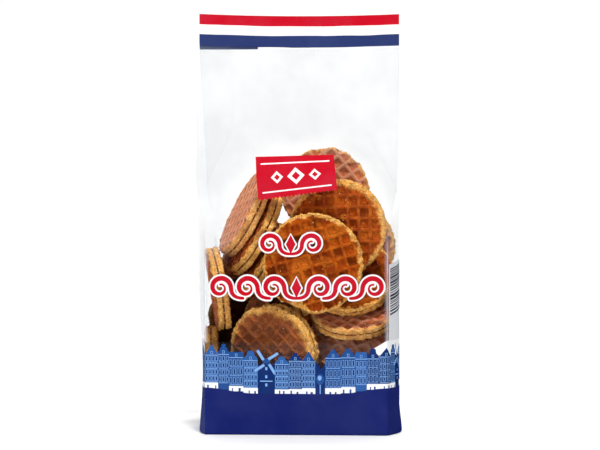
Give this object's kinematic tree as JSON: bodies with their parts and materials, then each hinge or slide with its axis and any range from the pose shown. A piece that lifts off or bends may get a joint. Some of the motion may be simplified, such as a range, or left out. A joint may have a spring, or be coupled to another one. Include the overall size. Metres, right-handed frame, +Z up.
{
  "type": "sealed clear film bag of mini stroopwafels",
  "caption": "Upright block-bottom clear film bag with side gussets and a crimped top seal, filled with small round caramel waffles and printed with a plain label and a row of gabled houses.",
  "frame": {"origin": "centre of the flat base, on the surface that the bag stands on", "axes": "+Z up to the top seal, -Y out of the front panel, +X to the right seen from the front"},
  "size_m": [0.1024, 0.0564, 0.21],
  "materials": {
    "film": "clear glossy polypropylene film",
    "ink": "opaque navy, mid blue, red and white print on the film",
    "waffle": "baked golden brown wafer, ridged and slightly crumbly",
    "caramel": "dark sticky caramel syrup"
  },
  "bodies": {
    "root": {"bag": "film"}
  },
  "joints": []
}
